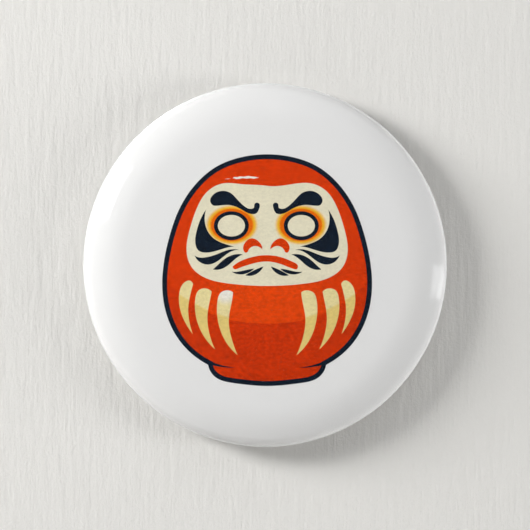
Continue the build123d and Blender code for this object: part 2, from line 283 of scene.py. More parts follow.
def chain(tree: Tree, *nodes: Node) -> None:
    """Links each node's first output to the next one's first input."""
    for one, other in zip(nodes, nodes[1:]):
        tree.links.new(one.outputs[0], other.inputs[0])


def end_tree(tree: Tree, last: Node, material: bpy.types.Material) -> None:
    """Ends a geometry tree in Realize Instances and Set Material.

    Args:
        tree: the tree.
        last: its last node so far.
        material: what the result is dressed in.
    """
    real = tree.nodes.new("GeometryNodeRealizeInstances")
    dress = tree.nodes.new("GeometryNodeSetMaterial")
    dress.inputs["Material"].default_value = material
    chain(tree, last, real, dress, tree.nodes["Group Output"])


def wire_tree(material: bpy.types.Material) -> Tree:
    """Tree that sweeps a round wire along the modified object's edges.

    Args:
        material: what the wire is dressed in.

    Returns:
        The tree.
    """
    tree = node_tree(
        "wire_sweep",
        Family.GEOMETRY,
        [
            ("Geometry", Kind.SHAPE, None),
            ("Wire radius", Kind.NUMBER, 0.4 * MM),
            ("Sides", Kind.COUNT, 16),
        ],
        [("Geometry", Kind.SHAPE)],
    )
    nodes, link = tree.nodes, tree.links.new
    start = nodes["Group Input"]
    line = nodes.new("GeometryNodeMeshToCurve")
    ring = nodes.new("GeometryNodeCurvePrimitiveCircle")
    sweep = nodes.new("GeometryNodeCurveToMesh")
    sweep.inputs["Fill Caps"].default_value = True
    shade = nodes.new("GeometryNodeSetShadeSmooth")
    link(start.outputs["Wire radius"], ring.inputs["Radius"])
    link(start.outputs["Sides"], ring.inputs["Resolution"])
    link(ring.outputs["Curve"], sweep.inputs["Profile Curve"])
    chain(tree, start, line, sweep, shade)
    end_tree(tree, shade, material)
    return tree


def bridges_tree(material: bpy.types.Material) -> Tree:
    """Tree that sweeps a strap along the modified object's edges and repeats it along X.

    Args:
        material: what the straps are dressed in.

    Returns:
        The tree.
    """
    tree = node_tree(
        "pin_bridges",
        Family.GEOMETRY,
        [
            ("Geometry", Kind.SHAPE, None),
            ("Strap width", Kind.NUMBER, 2.4 * MM),
            ("Strap thickness", Kind.NUMBER, 0.25 * MM),
            ("Spacing", Kind.NUMBER, 14 * MM),
            ("Count", Kind.COUNT, 2),
        ],
        [("Geometry", Kind.SHAPE)],
    )
    nodes, link = tree.nodes, tree.links.new
    start = nodes["Group Input"]
    line = nodes.new("GeometryNodeMeshToCurve")
    tilt = nodes.new("GeometryNodeSetCurveNormal")
    tilt.mode = "FREE"
    tilt.inputs["Normal"].default_value = (1, 0, 0)
    strap = nodes.new("GeometryNodeCurvePrimitiveQuadrilateral")
    sweep = nodes.new("GeometryNodeCurveToMesh")
    sweep.inputs["Fill Caps"].default_value = True
    link(start.outputs["Strap width"], strap.inputs["Width"])
    link(start.outputs["Strap thickness"], strap.inputs["Height"])
    link(strap.outputs["Curve"], sweep.inputs["Profile Curve"])
    chain(tree, start, line, tilt, sweep)
    step = nodes.new("ShaderNodeCombineXYZ")
    first = nodes.new("ShaderNodeCombineXYZ")
    places = nodes.new("GeometryNodeMeshLine")
    copies = nodes.new("GeometryNodeInstanceOnPoints")
    link(start.outputs["Spacing"], step.inputs["X"])
    link(calc(tree, "MULTIPLY", start.outputs["Spacing"], -0.5), first.inputs["X"])
    link(start.outputs["Count"], places.inputs["Count"])
    link(first.outputs[0], places.inputs["Start Location"])
    link(step.outputs[0], places.inputs["Offset"])
    link(sweep.outputs["Mesh"], copies.inputs["Instance"])
    chain(tree, places, copies)
    end_tree(tree, copies, material)
    return tree


def run_tree(obj: bpy.types.Object, tree: Tree, sizes: dict[str, object]) -> None:
    """Runs a geometry node tree on a piece and keeps the result as its plain mesh.

    Args:
        obj: the piece that gives the tree its line.
        tree: the tree.
        sizes: the value of each named input.
    """
    modifier = obj.modifiers.new(tree.name, "NODES")
    modifier.node_group = tree
    sockets = [i for i in tree.interface.items_tree if i.item_type == "SOCKET"]
    named = {i.name: i.identifier for i in sockets if i.in_out == "INPUT"}
    for label, value in sizes.items():
        modifier[named[label]] = value
    obj.update_tag()
    bpy.context.view_layer.update()
    apply_modifiers(obj)


# ---------------------------------------------------------------- shader nodes and groups
def feed(tree: Tree, socket: Socket, value: Paint) -> None:
    """Links an input to another node's output, or sets it to a plain value."""
    if isinstance(value, bpy.types.NodeSocket):
        tree.links.new(value, socket)
    else:
        socket.default_value = value


def noise(tree: Tree, place: Socket, per_metre: float, detail: float, roughness: float) -> Socket:
    """Adds a noise texture.

    Args:
        tree: the tree to add it to.
        place: where it is read.
        per_metre: its scale.
        detail: how many finer layers it has.
        roughness: how strong they are.

    Returns:
        Its factor.
    """
    node = tree.nodes.new("ShaderNodeTexNoise")
    values = {"Vector": place, "Scale": per_metre, "Detail": detail, "Roughness": roughness}
    for label, value in values.items():
        feed(tree, node.inputs[label], value)
    return node.outputs["Fac"]


def calc(tree: Tree, operation: str, *values: Paint) -> Socket:
    """Adds a Math node.

    Args:
        tree: the tree to add it to.
        operation: the node's operation.
        values: sockets or numbers, in the node's order.

    Returns:
        Its result.
    """
    node = tree.nodes.new("ShaderNodeMath")
    node.operation = operation
    for socket, value in zip(node.inputs, values):
        feed(tree, socket, value)
    return node.outputs[0]


def vector_calc(tree: Tree, operation: str, *values: Paint) -> Socket:
    """Adds a Vector Math node.

    Args:
        tree: the tree to add it to.
        operation: the node's operation.
        values: a vector, and where the operation takes one, a second vector or the scale.

    Returns:
        Its result, a number for LENGTH and else a vector.
    """
    node = tree.nodes.new("ShaderNodeVectorMath")
    node.operation = operation
    second = node.inputs["Scale"] if operation == "SCALE" else node.inputs[1]
    for socket, value in zip((node.inputs[0], second), values):
        feed(tree, socket, value)
    return node.outputs["Value" if operation == "LENGTH" else "Vector"]


def blend(tree: Tree, share: Paint, one: Paint, other: Paint) -> Socket:
    """Adds a colour mix.

    Args:
        tree: the tree to add it to.
        share: 0 for the one colour and 1 for the other.
        one: the one colour.
        other: the other.

    Returns:
        The mixed colour.
    """
    node = tree.nodes.new("ShaderNodeMix")
    node.data_type = "RGBA"
    for socket, value in ((node.inputs[0], share), (node.inputs[6], one), (node.inputs[7], other)):
        feed(tree, socket, value)
    return node.outputs[2]


def ramp(tree: Tree, value: Socket, low: float, high: float) -> Socket:
    """Adds a smooth step.

    Args:
        tree: the tree to add it to.
        value: what is stepped.
        low: where the step leaves 0.
        high: where it reaches 1.

    Returns:
        The step.
    """
    node = tree.nodes.new("ShaderNodeMapRange")
    node.interpolation_type = "SMOOTHSTEP"
    node.inputs["From Min"].default_value = low
    node.inputs["From Max"].default_value = high
    tree.links.new(value, node.inputs["Value"])
    return node.outputs["Result"]


def stretched(tree: Tree, place: Socket, scale: Colour) -> Socket:
    """Scales a place along each axis, so that a pattern read there is drawn out.

    Args:
        tree: the tree to add the Mapping node to.
        place: the place.
        scale: the scale along X, Y and Z, where less than 1 draws out.

    Returns:
        The scaled place.
    """
    node = tree.nodes.new("ShaderNodeMapping")
    node.inputs["Scale"].default_value = scale
    tree.links.new(place, node.inputs["Vector"])
    return node.outputs["Vector"]


def split_place(tree: Tree, place: Socket) -> tuple[Socket, Socket]:
    """The across (x) and up (z) parts of a place."""
    split = tree.nodes.new("ShaderNodeSeparateXYZ")
    tree.links.new(place, split.inputs[0])
    return split.outputs["X"], split.outputs["Z"]


def off_middle(tree: Tree, factor: Socket, strength: Socket) -> Socket:
    """A noise factor's swing about its middle, times a strength."""
    return calc(tree, "MULTIPLY", calc(tree, "SUBTRACT", factor, 0.5), strength)


INK_INPUTS = [("Colour", Kind.COLOUR, (1, 1, 1, 1)), ("Place", Kind.VECTOR, None)]
ELLIPSE_INPUTS = [("Centre", Kind.VECTOR, None), ("Radii", Kind.VECTOR, (1, 1, 1))]


def print_grain_group() -> Tree:
    """Group that breaks a flat ink up into a fine grain and soft blotches.

    Returns:
        The group.
    """
    tree = node_tree(
        "print_grain",
        Family.SHADER,
        [
            *INK_INPUTS,
            ("Grain", Kind.NUMBER, 0.1),
            ("Blotch", Kind.NUMBER, 0.1),
        ],
        [("Colour", Kind.COLOUR)],
    )
    start, end = tree.nodes["Group Input"], tree.nodes["Group Output"]
    streak = stretched(tree, start.outputs["Place"], (0.6, 1.0, 1.0))
    fine = off_middle(tree, noise(tree, streak, 3000.0, 4.0, 0.75), start.outputs["Grain"])
    soft = off_middle(tree, noise(tree, streak, 420.0, 3.0, 0.6), start.outputs["Blotch"])
    change = calc(tree, "ADD", calc(tree, "ADD", fine, soft), 1.0)
    tree.links.new(vector_calc(tree, "SCALE", start.outputs["Colour"], change), end.inputs["Colour"])
    return tree


def rolled_group() -> Tree:
    """Group for rolled or drawn metal: fine lines along X, with smudges.

    Returns:
        The group.
    """
    tree = node_tree(
        "rolled_metal",
        Family.SHADER,
        [
            ("Place", Kind.VECTOR, None),
            ("Roughness", Kind.NUMBER, 0.25),
            ("Line strength", Kind.NUMBER, 0.1),
            ("Smudge strength", Kind.NUMBER, 0.1),
        ],
        [("Roughness", Kind.NUMBER), ("Height", Kind.NUMBER), ("Shade", Kind.NUMBER)],
    )
    start, end = tree.nodes["Group Input"], tree.nodes["Group Output"]
    place = start.outputs["Place"]
    lines = noise(tree, stretched(tree, place, (0.03, 1.0, 1.0)), 5200.0, 2.0, 0.6)
    smudge = noise(tree, place, 160.0, 3.0, 0.6)
    both = calc(tree, "ADD", off_middle(tree, lines, start.outputs["Line strength"]),
                off_middle(tree, smudge, start.outputs["Smudge strength"]))
    tree.links.new(calc(tree, "ADD", both, start.outputs["Roughness"]), end.inputs["Roughness"])
    tree.links.new(lines, end.inputs["Height"])
    tree.links.new(calc(tree, "SUBTRACT", 1.0, calc(tree, "MULTIPLY", both, 0.6)), end.inputs["Shade"])
    return tree


def ellipse_reach(tree: Tree, across: Socket, up: Socket) -> Socket:
    """Adds the distance from the middle of a group's ellipse.

    Args:
        tree: a group with the inputs Centre and Radii.
        across: the place's part along X.
        up: its part along Z.

    Returns:
        The distance, which is 1 on the ellipse.
    """
    start = tree.nodes["Group Input"]
    at = tree.nodes.new("ShaderNodeCombineXYZ")
    tree.links.new(across, at.inputs["X"])
    tree.links.new(up, at.inputs["Z"])
    away = vector_calc(tree, "SUBTRACT", at.outputs[0], start.outputs["Centre"])
    return vector_calc(tree, "LENGTH", vector_calc(tree, "DIVIDE", away, start.outputs["Radii"]))


def ellipse_inputs(centre: tuple[float, float], radii: tuple[float, float]) -> dict[str, Colour]:
    """The Centre and Radii inputs of a group, from (x, z) pairs."""
    return {"Centre": (centre[0], 0.0, centre[1]), "Radii": (radii[0], 1.0, radii[1])}


GLOW_STARTS = (0.64, 0.70)
GLOW_YELLOWS = (0.88, 1.01)
GLOW_FADES = (1.00, 1.20)


def eye_glow_group() -> Tree:
    """Group that lays a soft ring of colour round two mirrored eyes.

    Returns:
        The group. Its ramps are shares of the ellipse that Centre and Radii give.
    """
    tree = node_tree(
        "eye_glow",
        Family.SHADER,
        [
            *INK_INPUTS,
            ("Middle", Kind.NUMBER, 0.0),
            *ELLIPSE_INPUTS,
            ("Inner colour", Kind.COLOUR, (1, 1, 1, 1)),
            ("Outer colour", Kind.COLOUR, (1, 1, 1, 1)),
        ],
        [("Colour", Kind.COLOUR)],
    )
    start, end = tree.nodes["Group Input"], tree.nodes["Group Output"]
    across, up = split_place(tree, start.outputs["Place"])
    side = calc(tree, "ABSOLUTE", calc(tree, "SUBTRACT", across, start.outputs["Middle"]))
    reach = ellipse_reach(tree, side, up)
    warm = blend(tree, ramp(tree, reach, *GLOW_YELLOWS), start.outputs["Inner colour"],
                 start.outputs["Outer colour"])
    eye = calc(tree, "SUBTRACT", 1.0, ramp(tree, reach, *GLOW_STARTS))
    clear = calc(tree, "MAXIMUM", eye, ramp(tree, reach, *GLOW_FADES))
    tree.links.new(blend(tree, clear, warm, start.outputs["Colour"]), end.inputs["Colour"])
    return tree


def lit_spot_group() -> Tree:
    """Group that lightens a colour softly inside an ellipse.

    Returns:
        The group.
    """
    tree = node_tree(
        "lit_spot",
        Family.SHADER,
        [
            *INK_INPUTS,
            *ELLIPSE_INPUTS,
            ("Lit colour", Kind.COLOUR, (1, 1, 1, 1)),
        ],
        [("Colour", Kind.COLOUR)],
    )
    start, end = tree.nodes["Group Input"], tree.nodes["Group Output"]
    reach = ellipse_reach(tree, *split_place(tree, start.outputs["Place"]))
    outside = ramp(tree, calc(tree, "MULTIPLY", reach, reach), 0.0, 1.0)
    colour = blend(tree, outside, start.outputs["Lit colour"], start.outputs["Colour"])
    tree.links.new(colour, end.inputs["Colour"])
    return tree


@dataclass
class Groups:
    """The shader groups that several finishes share."""

    grain: Tree = field(default_factory=print_grain_group)
    rolled: Tree = field(default_factory=rolled_group)
    glow: Tree = field(default_factory=eye_glow_group)
    spot: Tree = field(default_factory=lit_spot_group)


def group_node(tree: Tree, group: Tree, values: dict[str, Paint]) -> Node:
    """Places a shader group in a material.

    Args:
        tree: the material's tree.
        group: the group.
        values: a socket or plain value for each named input.

    Returns:
        The group's node.
    """
    node = tree.nodes.new("ShaderNodeGroup")
    node.node_tree = group
    for label, value in values.items():
        feed(tree, node.inputs[label], value)
    return node


def bump_node(tree: Tree, shader: Node, height: Socket, strength: float, distance: float) -> None:
    """Gives a shader a bumped surface.

    Args:
        tree: the material's tree.
        shader: the shader.
        height: the pattern that lifts the surface.
        strength: how strongly.
        distance: how far.
    """
    bump = tree.nodes.new("ShaderNodeBump")
    bump.inputs["Strength"].default_value = strength
    bump.inputs["Distance"].default_value = distance
    tree.links.new(height, bump.inputs["Height"])
    tree.links.new(bump.outputs["Normal"], shader.inputs["Normal"])


def start_material(name: str) -> tuple[bpy.types.Material, Tree, Node, Socket]:
    """Starts a node material.

    Args:
        name: the material's name.

    Returns:
        The material, its tree, its Principled node, and Object coordinates.
    """
    material = bpy.data.materials.new(name)
    material.use_nodes = True
    tree = material.node_tree
    place = tree.nodes.new("ShaderNodeTexCoord")
    return material, tree, tree.nodes["Principled BSDF"], place.outputs["Object"]


# ---------------------------------------------------------------- finishes
def rgba(colour: Colour) -> tuple[float, float, float, float]:
    """A colour with full alpha."""
    return (*colour, 1.0)


@dataclass(frozen=True)
class EyeGlow:
    """Soft ring of colour round each eye of the picture, which fades into the cream."""

    centre: tuple[float, float] = (5.36 * MM, 6.22 * MM)
    middle: float = 0.21 * MM
    radii: tuple[float, float] = (3.52 * MM, 2.70 * MM)
    inner: Colour = (0.81, 0.142, 0.001)
    outer: Colour = (0.86, 0.47, 0.03)

    def paint(self, tree: Tree, groups: Groups, place: Socket, under: Paint) -> Socket:
        """Lays the glow over a colour.

        Args:
            tree: the material's tree.
            groups: the shared shader groups.
            place: Object coordinates.
            under: the colour below the glow.

        Returns:
            The changed colour.
        """
        values = {"Colour": under, "Place": place, "Middle": self.middle, "Inner colour": rgba(self.inner),
                  "Outer colour": rgba(self.outer), **ellipse_inputs(self.centre, self.radii)}
        return group_node(tree, groups.glow, values).outputs["Colour"]


@dataclass(frozen=True)
class LitSpot:
    """A place in an ink where the printed colour is lighter."""

    centre: tuple[float, float]
    radii: tuple[float, float]
    colour: Colour

    def paint(self, tree: Tree, groups: Groups, place: Socket, under: Paint) -> Socket:
        """Lightens a colour about the spot.

        Args:
            tree: the material's tree.
            groups: the shared shader groups.
            place: Object coordinates.
            under: the colour away from the spot.

        Returns:
            The changed colour.
        """
        values = {"Colour": under, "Place": place, "Lit colour": rgba(self.colour),
                  **ellipse_inputs(self.centre, self.radii)}
        return group_node(tree, groups.spot, values).outputs["Colour"]


@dataclass(frozen=True)
class RobeShade:
    """Lower part of the body, below a shallow curve, where a colour is deeper."""

    colour: Colour
    middle: float = 0.3 * MM
    level: float = -9.0 * MM
    curve: float = 24.0
    soft: float = 0.25 * MM

    def paint(self, tree: Tree, groups: Groups, place: Socket, under: Paint) -> Socket:
        """Deepens a colour below the curve.

        Args:
            tree: the material's tree.
            groups: the shared shader groups, of which it needs none.
            place: Object coordinates.
            under: the colour above the curve.

        Returns:
            The changed colour.
        """
        across, up = split_place(tree, place)
        side = calc(tree, "SUBTRACT", across, self.middle)
        line = calc(tree, "MULTIPLY", calc(tree, "MULTIPLY", side, side), self.curve)
        height = calc(tree, "SUBTRACT", calc(tree, "SUBTRACT", up, self.level), line)
        return blend(tree, ramp(tree, height, -self.soft, self.soft), rgba(self.colour), under)


@dataclass(frozen=True)
class FilmGloss:
    """Even gloss of the clear film, given to the printed surface that it is pressed onto."""

    roughness: float = 0.7
    coat_roughness: float = 0.07
    coat_ior: float = 1.24

    def lay_on(self, shader: Node) -> None:
        """Sets the gloss on a Principled node.

        Args:
            shader: the node.
        """
        shader.inputs["Roughness"].default_value = self.roughness
        shader.inputs["Specular IOR Level"].default_value = 0.0
        shader.inputs["Coat Weight"].default_value = 1.0
        shader.inputs["Coat Roughness"].default_value = self.coat_roughness
        shader.inputs["Coat IOR"].default_value = self.coat_ior


@dataclass(frozen=True)
class PrintInk:
    """One printed colour, or the bare paper, under the clear film."""

    name: str
    colour: Colour
    grain: float
    blotch: float
    effects: tuple[EyeGlow | LitSpot | RobeShade, ...] = ()
    gloss: FilmGloss = FilmGloss()

    def material(self, groups: Groups) -> bpy.types.Material:
        """Builds the ink's material.

        Args:
            groups: the shared shader groups.

        Returns:
            The material.
        """
        material, tree, shader, place = start_material(self.name)
        colour: Paint = rgba(self.colour)
        for effect in self.effects:
            colour = effect.paint(tree, groups, place, colour)
        values = {"Colour": colour, "Place": place, "Grain": self.grain, "Blotch": self.blotch}
        grain = group_node(tree, groups.grain, values)
        tree.links.new(grain.outputs["Colour"], shader.inputs["Base Color"])
        self.gloss.lay_on(shader)
        return material


@dataclass(frozen=True)
class ClearFilm:
    """Thin clear polyester: nearly unseen face on, with a painted sheen of white that grows at a glancing
    angle, and faint scuffs.
    """

    # Strength of the painted sheen: white that the film shows more of at a glancing angle.
    sheen_and_scuffs: float = 0.12
    scuffing: float = 0.004

    def material(self) -> bpy.types.Material:
        """Builds the film's material.

        Returns:
            The material.
        """
        material, tree, shader, place = start_material("clear_film")
        scuffs = noise(tree, place, 900.0, 4.0, 0.65)
        rim = tree.nodes.new("ShaderNodeLayerWeight")
        rim.inputs["Blend"].default_value = 0.25
        # Painted sheen: the white film's alpha grows towards a glancing angle; faint scuffs are added to it.
        share = calc(tree, "MULTIPLY", rim.outputs["Facing"], self.sheen_and_scuffs)
        sheen_and_scuffs = calc(tree, "ADD", share, calc(tree, "MULTIPLY", scuffs, self.scuffing))
        shader.inputs["Base Color"].default_value = (0.9, 0.9, 0.9, 1)
        shader.inputs["Roughness"].default_value = 0.12
        tree.links.new(sheen_and_scuffs, shader.inputs["Alpha"])
        return material


@dataclass(frozen=True)
class RolledMetal:
    """Plated or tinned steel sheet and wire."""

    name: str
    colour: Colour
    roughness: float
    lines: float = 0.1
    smudges: float = 0.1
    bump: float = 0.02
    bump_height: float = 0.02 * MM

    def material(self, groups: Groups) -> bpy.types.Material:
        """Builds the metal's material.

        Args:
            groups: the shared shader groups.

        Returns:
            The material.
        """
        material, tree, shader, place = start_material(self.name)
        values = {"Place": place, "Roughness": self.roughness, "Line strength": self.lines,
                  "Smudge strength": self.smudges}
        rolled = group_node(tree, groups.rolled, values)
        tint = vector_calc(tree, "SCALE", self.colour, rolled.outputs["Shade"])
        tree.links.new(tint, shader.inputs["Base Color"])
        tree.links.new(rolled.outputs["Roughness"], shader.inputs["Roughness"])
        shader.inputs["Metallic"].default_value = 1.0
        bump_node(tree, shader, rolled.outputs["Height"], self.bump, self.bump_height)
        return material


# ---------------------------------------------------------------- the pressed dome
@dataclass(frozen=True)
class DomeShape:
    """Section of the badge's outer face: crown, shoulder, edge, side wall, roll and lip."""

    radius: float
    crown_r: float = 330 * MM
    shoulder_r: float = 12 * MM
    shoulder_angle: float = 30.0
    edge_r: float = 3 * MM
    side_wall: float = 0.3 * MM
    roll_r: float = 0.8 * MM
    lip: float = 3.6 * MM
    lip_steps: tuple[float, ...] = (0.2, 0.45)

    @property
    def edge_y(self) -> float:
        """Level of the edge arc's centre."""
        return -(self.roll_r + self.side_wall)

    @property
    def shoulder_at(self) -> tuple[float, float]:
        """Centre of the shoulder arc."""
        lean = math.radians(self.shoulder_angle)
        apart = self.shoulder_r - self.edge_r
        return (self.radius - self.edge_r - apart * math.sin(lean), self.edge_y + apart * math.cos(lean))

    @property
    def crown_angle(self) -> float:
        """Slope where the crown meets the shoulder, in degrees."""
        return math.degrees(math.asin(self.shoulder_at[0] / (self.crown_r - self.shoulder_r)))

    @property
    def crown_y(self) -> float:
        """Level of the crown's centre."""
        reach = self.crown_r - self.shoulder_r
        return self.shoulder_at[1] + reach * math.cos(math.radians(self.crown_angle))

    def face(self, inset: float) -> np.ndarray:
        """Section of one face of a layer.

        Args:
            inset: its depth below the film's face.

        Returns:
            Points (r, y) from the apex to the lip.
        """
        edge_at = (self.radius - self.edge_r, self.edge_y)
        roll_at = (self.radius - self.roll_r, self.edge_y + self.side_wall)
        parts = [
            arc((0, self.crown_y), self.crown_r - inset, 0, self.crown_angle, 20),
            arc(self.shoulder_at, self.shoulder_r - inset, self.crown_angle, self.shoulder_angle, 16)[1:],
            arc(edge_at, self.edge_r - inset, self.shoulder_angle, 90, 18)[1:],
            arc(roll_at, self.roll_r - inset, 90, 180, 14),
            np.array([[self.radius - self.roll_r - self.lip * s, -inset] for s in self.lip_steps]),
            np.array([[self.radius - self.lip, -inset]]),
        ]
        return np.vstack(parts)

    def skin(self, outer: float, inner: float) -> np.ndarray:
        """Closed section of a layer between two depths."""
        return np.vstack([self.face(outer), self.face(inner)[::-1]])

    def crown(self, x: np.ndarray, z: np.ndarray, inset: float) -> np.ndarray:
        """Level of the crown over points of the picture."""
        return self.crown_y - np.sqrt((self.crown_r - inset) ** 2 - x * x - z * z)

    def crown_normal(self, x: float, y: float, z: float) -> Vector:
        """Direction out of the crown at a point."""
        return Vector((x, y - self.crown_y, z)).normalized()


@dataclass
class DomeSkins:
    """Front shell, paper and film, pressed over one another and crimped at the back."""

    dome: DomeShape
    segments: int = 224
    film_t: float = 0.08 * MM
    paper_t: float = 0.12 * MM
    shell_t: float = 0.25 * MM
    film_drawn_t: float = 0.05 * MM
    gap: float = 0.01 * MM

    def build(self, groups: Groups) -> None:
        """Builds and dresses the three skins.

        Args:
            groups: the shared shader groups.
        """
        paper = PrintInk("white_paper", (0.83, 0.83, 0.83), 0.012, 0.012)
        tinplate = RolledMetal("tinplate_front", (0.74, 0.75, 0.76), 0.22)
        under_paper = self.film_t + self.paper_t
        layers = [
            ("clear_film", 0.0, self.film_drawn_t, ClearFilm().material()),
            ("printed_paper", self.film_t, under_paper - self.gap, paper.material(groups)),
            ("front_shell", under_paper, under_paper + self.shell_t - self.gap, tinplate.material(groups)),
        ]
        for node, outer, inner, material in layers:
            piece = turned(f"{node}_skin", self.dome.skin(outer, inner), self.segments)
            smooth(piece, 40)
            piece.data.materials.append(material)
            hand_over(piece, Body.BADGE, node)


# ---------------------------------------------------------------- the printed picture
@dataclass
class PrintedArea:
    """One colour of the picture: the node's outline, meshed finely over the crown."""

    node: str
    dome: DomeShape
    ink: PrintInk
    front: float = 0.066 * MM
    back: float = 0.1 * MM
    spacing: float = 0.75 * MM
    edge_clear: float = 0.225 * MM

    def front_edges(self) -> tuple[np.ndarray, set[tuple[int, int]]]:
        """Finds the edges of the node's front triangles.

        Returns:
            The node's points, each place once, and the directed edges between them.
        """
        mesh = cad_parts[self.node].data
        mesh.calc_loop_triangles()
        points = np.array([v.co[:] for v in mesh.vertices])
        keys: dict[tuple[int, ...], int] = {}
        same = [keys.setdefault(tuple(np.round(p * KEYS_PER_METRE).astype(int)), len(keys)) for p in points]
        spots = np.zeros((len(keys), 3))
        spots[same] = points
        edges = set()
        for t in mesh.loop_triangles:
            if t.normal.y > -0.9:
                continue
            a, b, c = (same[i] for i in t.vertices)
            edges.update([(a, b), (b, c), (c, a)])
        return spots, edges

    def outlines(self) -> list[np.ndarray]:
        """Follows the front face's open edges round.

        Returns:
            Closed outlines (x, z).
        """
        spots, edges = self.front_edges()
        following: dict[int, list[int]] = {}
        for a, b in edges:
            if (b, a) not in edges:
                following.setdefault(a, []).append(b)
        loops = []
        while following:
            start = next(iter(following))
            loop, here = [], start
            while here in following:
                loop.append(here)
                onward = following[here].pop()
                if not following[here]:
                    del following[here]
                here = onward
            if len(loop) > 2:
                loops.append(spots[loop][:, [0, 2]])
        return loops

    @staticmethod
    def inside(points: np.ndarray, loops: list[np.ndarray]) -> np.ndarray:
        """Tests points by counting the outlines that a level line from each one crosses.

        Args:
            points: (x, z) points.
            loops: closed outlines.

        Returns:
            Whether each point lies inside.
        """
        hit = np.zeros(len(points), bool)
        x, z = points[:, 0], points[:, 1]
        for loop in loops:
            for (xa, za), (xb, zb) in zip(loop, np.roll(loop, -1, 0)):
                if za == zb:
                    continue
                crosses = (za > z) != (zb > z)
                hit ^= crosses & (x < (xb - xa) * (z - za) / (zb - za) + xa)
        return hit

    def filling(self, loops: list[np.ndarray]) -> np.ndarray:
        """Fills the outlines with a grid, so that the patch follows the crown.

        Args:
            loops: closed outlines.

        Returns:
            The grid's points (x, z) that lie well inside.
        """
        edge = np.vstack(loops)
        low, high = edge.min(0), edge.max(0)
        xs = np.arange(low[0], high[0], self.spacing)
        zs = np.arange(low[1], high[1], self.spacing)
        grid = np.array([(x, z) for x in xs for z in zs])
        grid = grid.reshape(-1, 2)
        grid = grid[self.inside(grid, loops)]
        kept = [p for p in grid if np.min(np.sum((edge - p) ** 2, 1)) > self.edge_clear**2]
        return np.array(kept).reshape(-1, 2)

    def patch(self) -> tuple[np.ndarray, list[tuple[int, ...]]]:
        """Meshes the colour flat.

        Returns:
            Points (x, z), and the point numbers of each triangle.
        """
        loops = self.outlines()
        flat = np.vstack([*loops, self.filling(loops)])
        edges, start = [], 0
        for loop in loops:
            count = len(loop)
            edges += [(start + i, start + (i + 1) % count) for i in range(count)]
            start += count
        verts, _, faces, *_ = delaunay_2d_cdt([Vector(p * CDT_UNITS) for p in flat], edges, [], 0, 1e-6)
        flat = np.array([v[:] for v in verts]) / CDT_UNITS
        centres = np.array([flat[list(f)].mean(0) for f in faces])
        kept = [f for f, keep in zip(faces, self.inside(centres, loops)) if keep]
        used = sorted({i for f in kept for i in f})
        number = {old: new for new, old in enumerate(used)}
        return flat[used], [tuple(number[i] for i in f) for f in kept]

    def build(self, groups: Groups) -> None:
        """Builds the patch with its thickness and dresses it.

        Args:
            groups: the shared shader groups.
        """
        flat, kept = self.patch()
        count = len(flat)
        x, z = flat[:, 0], flat[:, 1]
        top = np.stack([x, self.dome.crown(x, z, self.front), z], 1)
        under = np.stack([x, self.dome.crown(x, z, self.back), z], 1)
        sides = {(f[i], f[(i + 1) % 3]) for f in kept for i in range(3)}
        rim = [(a, b) for a, b in sides if (b, a) not in sides]
        all_faces = list(kept)
        all_faces += [tuple(count + i for i in reversed(f)) for f in kept]
        all_faces += [(b, a, count + a, count + b) for a, b in sorted(rim)]
        piece = make_piece(f"{self.node}_ink", np.vstack([top, under]), all_faces)
        outwards(piece)
        self.shade(piece)
        piece.data.materials.append(self.ink.material(groups))
        hand_over(piece, Body.BADGE, self.node)

    def shade(self, piece: bpy.types.Object) -> None:
        """Gives the patch the crown's own normals, so that it shines as one surface with the paper.

        Args:
            piece: the patch.
        """
        mesh = piece.data
        mesh.polygons.foreach_set("use_smooth", [True] * len(mesh.polygons))
        normals = []
        for polygon in mesh.polygons:
            facing = polygon.normal.y
            for i in polygon.vertices:
                out = self.dome.crown_normal(*mesh.vertices[i].co)
                if abs(facing) < 0.5:
                    out = polygon.normal.copy()
                elif facing > 0:
                    out = -out
                normals.append(out)
        mesh.normals_split_custom_set(normals)


BODY_LIGHT = LitSpot((0.3 * MM, -6.2 * MM), (13 * MM, 6.5 * MM), (0.775, 0.062, 0.0012))
STROKE_LIGHT = LitSpot((-6.1 * MM, -4.2 * MM), (2.2 * MM, 2.3 * MM), (0.86, 0.82, 0.74))
STROKE_SHADE = RobeShade((0.76, 0.59, 0.20))
CREAM = (0.795, 0.745, 0.565)
INKS = {
    "print_navy": PrintInk("ink_navy", (0.0042, 0.0105, 0.0225), 3.2, 0.8),
    "print_red": PrintInk("ink_red", (0.690, 0.043, 0.0002), 1.3, 0.22, (BODY_LIGHT,)),
    "print_dark_red": PrintInk("ink_dark_red", (0.595, 0.034, 0.0001), 1.7, 0.28),
    "print_cream": PrintInk("ink_cream", CREAM, 0.42, 0.14, (EyeGlow(),)),
    "print_orange": PrintInk("ink_orange", CREAM, 0.42, 0.14, (EyeGlow(),)),
    "print_gold": PrintInk("ink_gold", (0.81, 0.70, 0.355), 0.6, 0.22, (STROKE_SHADE, STROKE_LIGHT)),
    "print_white": PrintInk("ink_white", (0.86, 0.82, 0.74), 0.2, 0.2),
}


@dataclass
class Picture:
    """The printed daruma picture, colour by colour."""

    dome: DomeShape

    def build(self, groups: Groups) -> None:
        """Builds every printed colour.

        Args:
            groups: the shared shader groups.
        """
        for node, ink in INKS.items():
            PrintedArea(node, self.dome, ink).build(groups)


